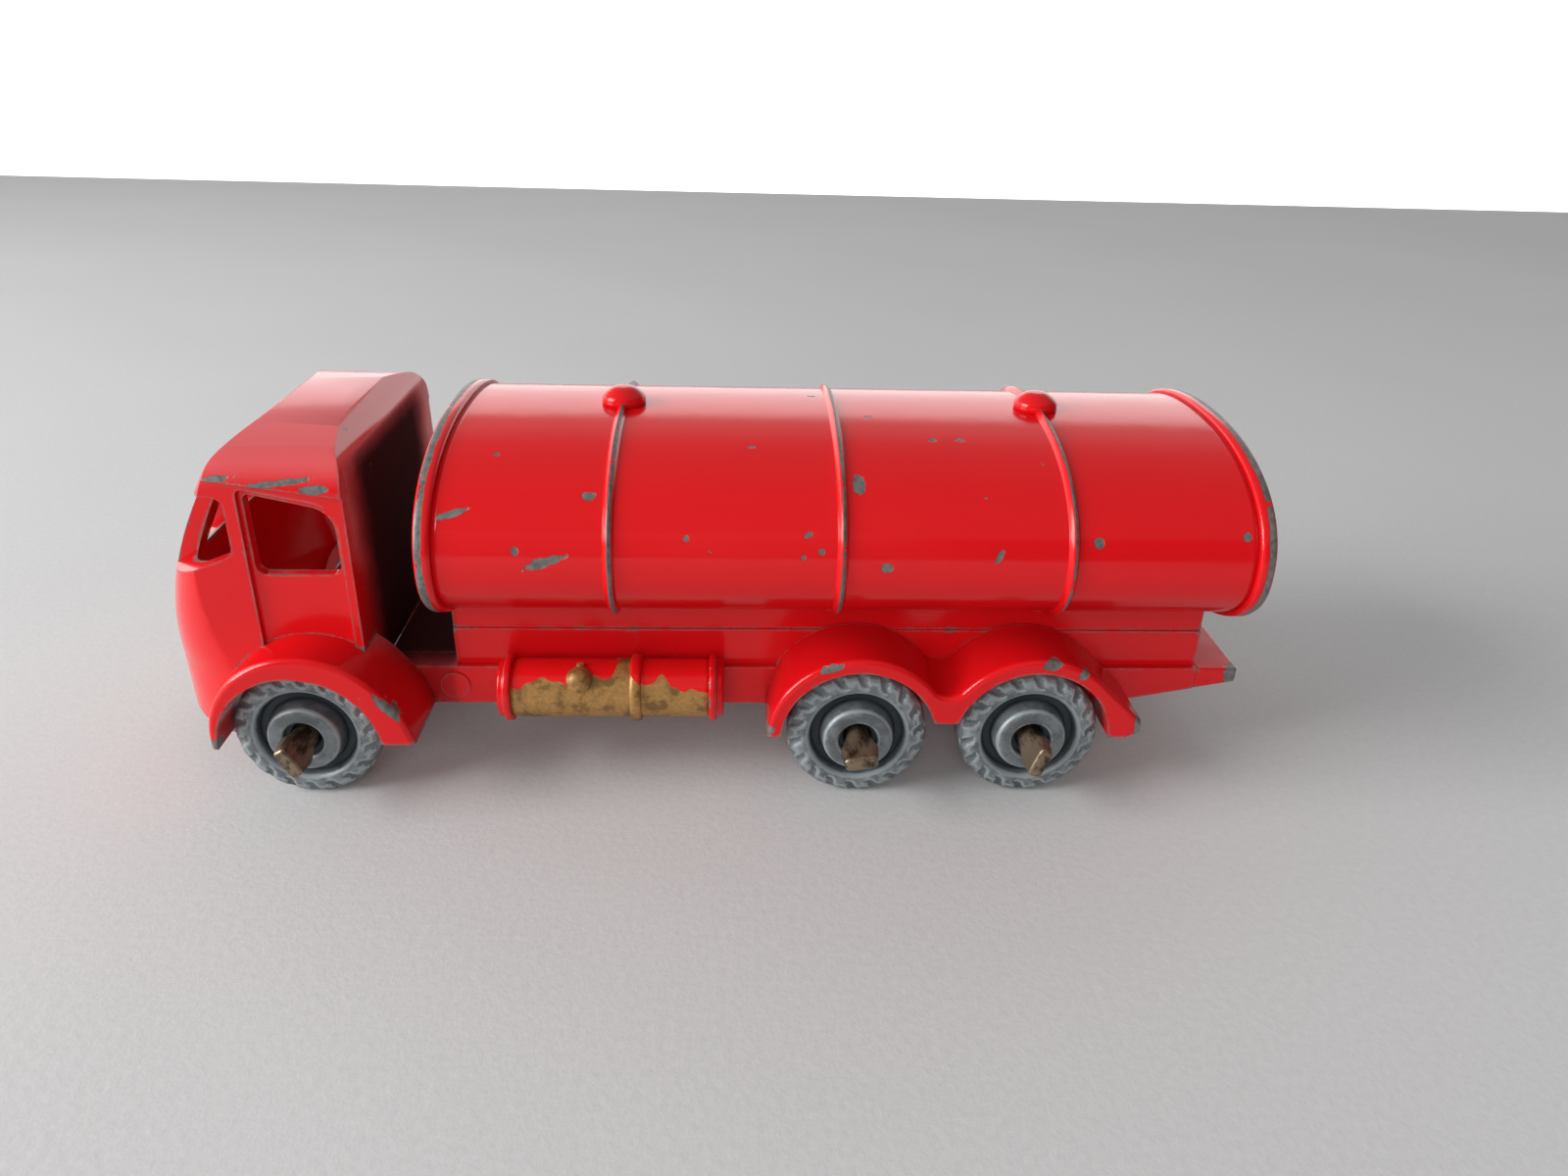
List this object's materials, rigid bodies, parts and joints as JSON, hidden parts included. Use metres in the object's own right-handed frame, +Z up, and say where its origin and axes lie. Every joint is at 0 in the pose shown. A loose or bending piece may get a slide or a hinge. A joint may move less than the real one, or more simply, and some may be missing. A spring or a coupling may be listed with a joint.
{
  "type": "toy road tanker lorry",
  "caption": "Die-cast toy road tanker: forward-control cab, ribbed tank on a flat frame, and wheels loose on three crimped axles.",
  "frame": {"origin": "on the floor, under the middle of the overall length and width", "axes": "+X forwards to the cab, +Y to the lorry's left, +Z up"},
  "size_m": [0.0668, 0.0274, 0.0223],
  "materials": {
    "red_enamel": "thick gloss enamel, chipped to bare zinc on the crests",
    "gold_paint": "dull bronze-gold paint, worn",
    "bare_zinc": "unpainted zinc casting, oxidised blue-grey",
    "axle_steel": "rusty brown steel wire"
  },
  "bodies": {
    "lorry_body": {"cab_shell": "red_enamel", "radiator_grille": "gold_paint", "tank_barrel": "red_enamel", "tank_front_end": "red_enamel", "tank_rear_end": "red_enamel", "tank_cradle": "red_enamel", "front_deck": "red_enamel", "front_cross_member": "red_enamel", "rear_cross_member": "red_enamel", "tail_plate": "red_enamel", "tank_band_front": "red_enamel", "tank_band_middle": "red_enamel", "tank_band_rear": "red_enamel", "filler_cap_front": "red_enamel", "filler_cap_rear": "red_enamel", "side_frame_left": "red_enamel", "side_frame_right": "red_enamel", "front_mudguard_left": "red_enamel", "front_mudguard_right": "red_enamel", "rear_mudguard_left": "red_enamel", "rear_mudguard_right": "red_enamel", "fuel_tank_left": "gold_paint", "fuel_tank_right": "gold_paint", "fuel_tank_ends_left": "red_enamel", "fuel_tank_ends_right": "red_enamel", "fuel_tank_strap_left": "red_enamel", "fuel_tank_strap_right": "red_enamel", "fuel_filler_left": "red_enamel", "fuel_filler_right": "red_enamel"},
    "front_axle": {"front_axle": "axle_steel"},
    "front_wheel_left": {"front_wheel_left": "bare_zinc"},
    "front_wheel_right": {"front_wheel_right": "bare_zinc"},
    "middle_axle": {"middle_axle": "axle_steel"},
    "middle_wheel_left": {"middle_wheel_left": "bare_zinc"},
    "middle_wheel_right": {"middle_wheel_right": "bare_zinc"},
    "rear_axle": {"rear_axle": "axle_steel"},
    "rear_wheel_left": {"rear_wheel_left": "bare_zinc"},
    "rear_wheel_right": {"rear_wheel_right": "bare_zinc"}
  },
  "joints": [
    {"name": "front_axle_spin", "type": "hinge", "parent": "lorry_body", "child": "front_axle", "pos_m": [0.02305, 0, 0.0042], "axis": [0, 1, 0], "continuous": true},
    {"name": "front_wheel_left_spin", "type": "hinge", "parent": "front_axle", "child": "front_wheel_left", "pos_m": [0.02305, 0, 0.0042], "axis": [0, 1, 0], "continuous": true},
    {"name": "front_wheel_right_spin", "type": "hinge", "parent": "front_axle", "child": "front_wheel_right", "pos_m": [0.02305, 0, 0.0042], "axis": [0, 1, 0], "continuous": true},
    {"name": "middle_axle_spin", "type": "hinge", "parent": "lorry_body", "child": "middle_axle", "pos_m": [-0.00935, 0, 0.0042], "axis": [0, 1, 0], "continuous": true},
    {"name": "middle_wheel_left_spin", "type": "hinge", "parent": "middle_axle", "child": "middle_wheel_left", "pos_m": [-0.00935, 0, 0.0042], "axis": [0, 1, 0], "continuous": true},
    {"name": "middle_wheel_right_spin", "type": "hinge", "parent": "middle_axle", "child": "middle_wheel_right", "pos_m": [-0.00935, 0, 0.0042], "axis": [0, 1, 0], "continuous": true},
    {"name": "rear_axle_spin", "type": "hinge", "parent": "lorry_body", "child": "rear_axle", "pos_m": [-0.01975, 0, 0.0042], "axis": [0, 1, 0], "continuous": true},
    {"name": "rear_wheel_left_spin", "type": "hinge", "parent": "rear_axle", "child": "rear_wheel_left", "pos_m": [-0.01975, 0, 0.0042], "axis": [0, 1, 0], "continuous": true},
    {"name": "rear_wheel_right_spin", "type": "hinge", "parent": "rear_axle", "child": "rear_wheel_right", "pos_m": [-0.01975, 0, 0.0042], "axis": [0, 1, 0], "continuous": true}
  ]
}
